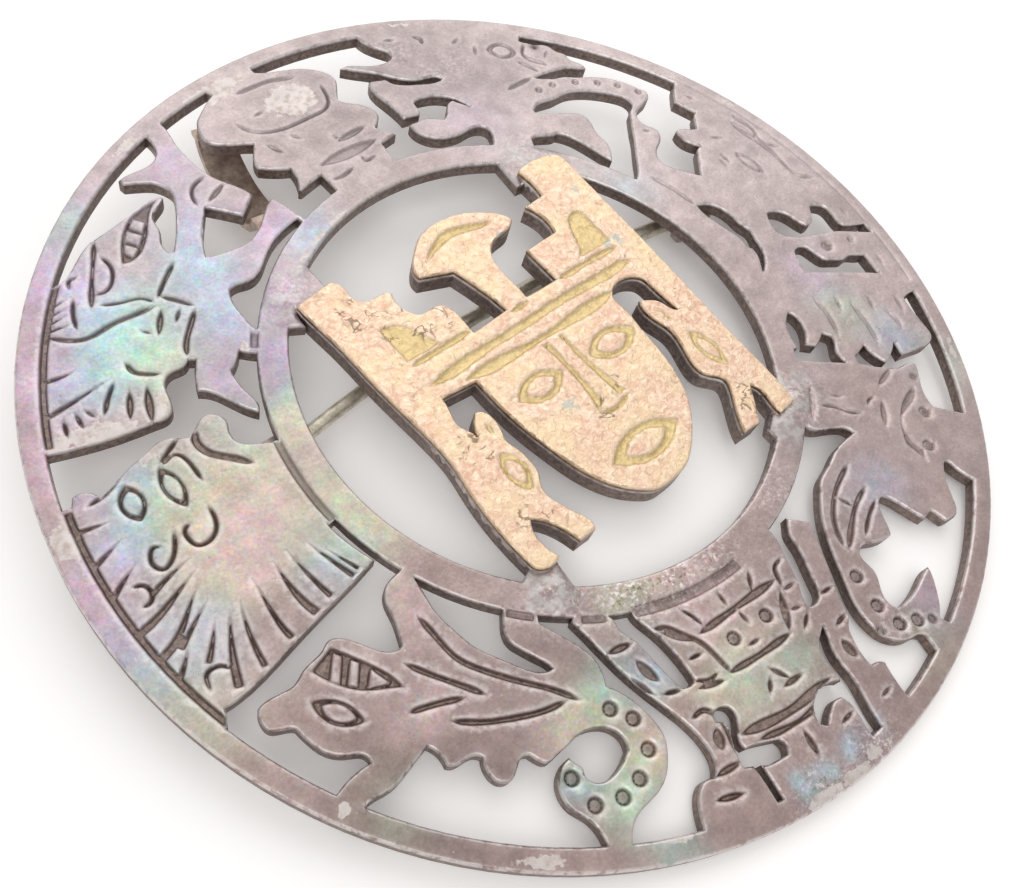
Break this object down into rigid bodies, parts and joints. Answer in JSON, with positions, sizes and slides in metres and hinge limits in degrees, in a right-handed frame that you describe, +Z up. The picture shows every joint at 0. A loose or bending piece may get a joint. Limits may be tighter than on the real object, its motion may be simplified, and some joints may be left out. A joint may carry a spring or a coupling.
{
  "type": "round brooch",
  "caption": "Round pierced silver brooch with cast figures between two rings, an engraved gold mask in the middle, a hinged pin and a chain bail on the back.",
  "frame": {"origin": "on the table, under the middle of the brooch's bounding box", "axes": "+Z up from the table, +X to the right of the mask as seen from the front, +Y towards the mask's crest; the disc leans back on its pin fittings, so its own plane is turned about X by the rest angle"},
  "size_m": [0.05, 0.05, 0.0048],
  "materials": {
    "silver": "tarnished cast silver with iridescent patina",
    "gold": "worn rose gold sheet, engraved",
    "fittings": "darkened silver wire and strip"
  },
  "bodies": {
    "brooch": {"pierced_frame": "silver", "gold_mask": "gold", "pin_hinge": "fittings", "pin_catch": "fittings", "pendant_bail": "fittings"},
    "pin": {"pin_stem": "fittings"}
  },
  "joints": [
    {"name": "pin_opening", "type": "hinge", "parent": "brooch", "child": "pin", "pos_m": [0.0149, 0.00369, 0.00111], "axis": [0, -0.9968, -0.0805], "range_deg": [0, 100]}
  ]
}
